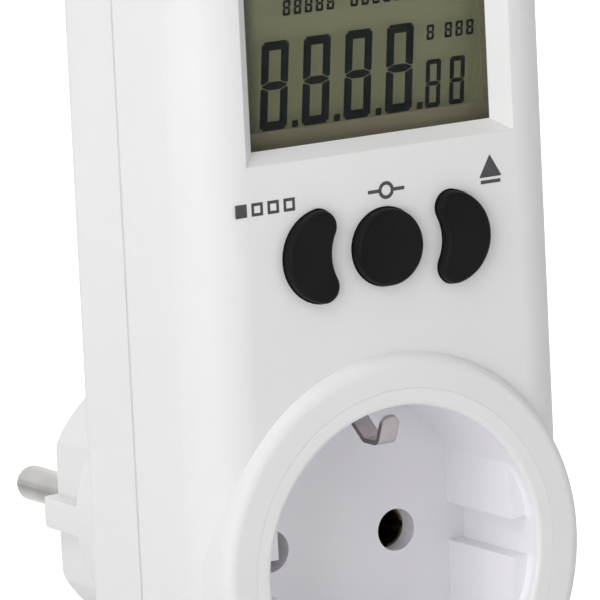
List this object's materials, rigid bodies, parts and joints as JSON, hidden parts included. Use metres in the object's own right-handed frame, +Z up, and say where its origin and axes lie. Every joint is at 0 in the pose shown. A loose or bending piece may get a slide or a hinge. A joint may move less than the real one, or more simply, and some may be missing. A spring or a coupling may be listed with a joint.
{
  "type": "energy cost meter",
  "caption": "Plug-through energy cost meter: rounded upright case, earthed round plug behind, matching socket bowl with a collar in front, display window and a row of rubber keys above.",
  "frame": {"origin": "centre of the plug spigot's end face, midway between the two pins", "axes": "+Y out of the plug, into the wall; +Z up, towards the display; +X to the right seen from the front"},
  "size_m": [0.0542, 0.0796, 0.1215],
  "materials": {
    "housing_shell": "fine satin moulded ABS, seams crisp",
    "socket_moulding": "smooth bluish white moulded plastic",
    "key_rubber": "matt black silicone rubber",
    "mat_rubber": "grey silicone rubber",
    "contact_pill": "carbon-filled rubber",
    "clear_pane": "clear polished acrylic",
    "display_glass": "thin display glass with polariser",
    "display_back": "olive-grey reflector foil",
    "frame_plastic": "plain moulded plastic",
    "zebra_rubber": "layered conducting rubber",
    "circuit_board": "green solder mask",
    "chip_plastic": "black moulding compound",
    "film_capacitor_case": "yellow box case",
    "capacitor_can": "drawn aluminium can",
    "varistor_coat": "blue dipped epoxy",
    "cell_sleeve": "shrink sleeve",
    "crystal_can": "drawn metal can",
    "resistor_coat": "beige lacquer",
    "contact_metal": "stamped brass",
    "pin_metal": "nickel-plated brass, satin",
    "earth_metal": "dull nickel-plated spring strip",
    "screw_metal": "zinc-plated steel",
    "carrier_plastic": "black heat-resistant moulding",
    "shunt_metal": "copper-manganese strip"
  },
  "bodies": {
    "housing": {"front_cover": "housing_shell", "rear_cover": "housing_shell", "case_screws": "screw_metal", "socket_insert": "socket_moulding", "insert_screws": "screw_metal", "contact_carrier": "carrier_plastic", "carrier_screws": "screw_metal", "earth_clip_upper": "earth_metal", "earth_clip_lower": "earth_metal", "earth_strap": "earth_metal", "earth_rivets": "screw_metal", "plug_earth_contact_upper": "earth_metal", "plug_earth_contact_lower": "earth_metal", "live_contact": "contact_metal", "neutral_contact": "contact_metal", "live_pin": "pin_metal", "neutral_pin": "pin_metal", "live_strap": "contact_metal", "neutral_strap": "contact_metal", "current_shunt": "shunt_metal", "lcd_window": "clear_pane", "lcd_front_glass": "display_glass", "lcd_rear_glass": "display_glass", "lcd_reflector": "display_back", "lcd_holder": "frame_plastic", "zebra_strip": "zebra_rubber", "keypad_mat": "mat_rubber", "main_board": "circuit_board", "board_screws": "screw_metal", "meter_chip": "chip_plastic", "dropper_capacitor": "film_capacitor_case", "electrolytic_capacitor": "capacitor_can", "varistor": "varistor_coat", "backup_cell": "cell_sleeve", "crystal": "crystal_can", "resistors": "resistor_coat"},
    "mode_button": {"mode_key": "key_rubber", "mode_key_pill": "contact_pill"},
    "set_button": {"set_key": "key_rubber", "set_key_pill": "contact_pill"},
    "up_button": {"up_key": "key_rubber", "up_key_pill": "contact_pill"}
  },
  "joints": [
    {"name": "mode_press", "type": "slide", "parent": "housing", "child": "mode_button", "axis": [0, 1, 0], "range_m": [0, 0.0008], "stiffness_N_per_m": 1500, "springref_m": -0.0003},
    {"name": "set_press", "type": "slide", "parent": "housing", "child": "set_button", "axis": [0, 1, 0], "range_m": [0, 0.0008], "stiffness_N_per_m": 1500, "springref_m": -0.0003},
    {"name": "up_press", "type": "slide", "parent": "housing", "child": "up_button", "axis": [0, 1, 0], "range_m": [0, 0.0008], "stiffness_N_per_m": 1500, "springref_m": -0.0003}
  ]
}
